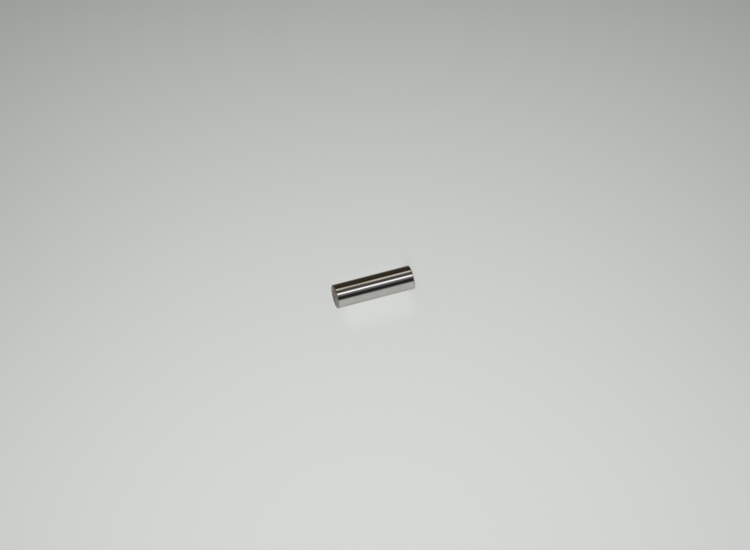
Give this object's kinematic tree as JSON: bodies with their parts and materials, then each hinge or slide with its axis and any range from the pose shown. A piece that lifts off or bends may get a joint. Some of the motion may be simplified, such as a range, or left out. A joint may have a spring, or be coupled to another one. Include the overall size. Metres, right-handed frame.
{
  "type": "gudgeon pin",
  "caption": "Solid round steel pin, ground and polished, with chamfered flat ends; it joins a small piston to its connecting rod.",
  "frame": {"origin": "centre of the end face that the pin stands on", "axes": "+Z along the pin's axis, towards the upper end face; X and Y lie across it, either way, because the pin is round"},
  "size_m": [0.004, 0.004, 0.0132],
  "materials": {
    "ground_steel": "ground and polished hardened steel, with dull ground end faces"
  },
  "bodies": {
    "root": {"pin": "ground_steel"}
  },
  "joints": []
}
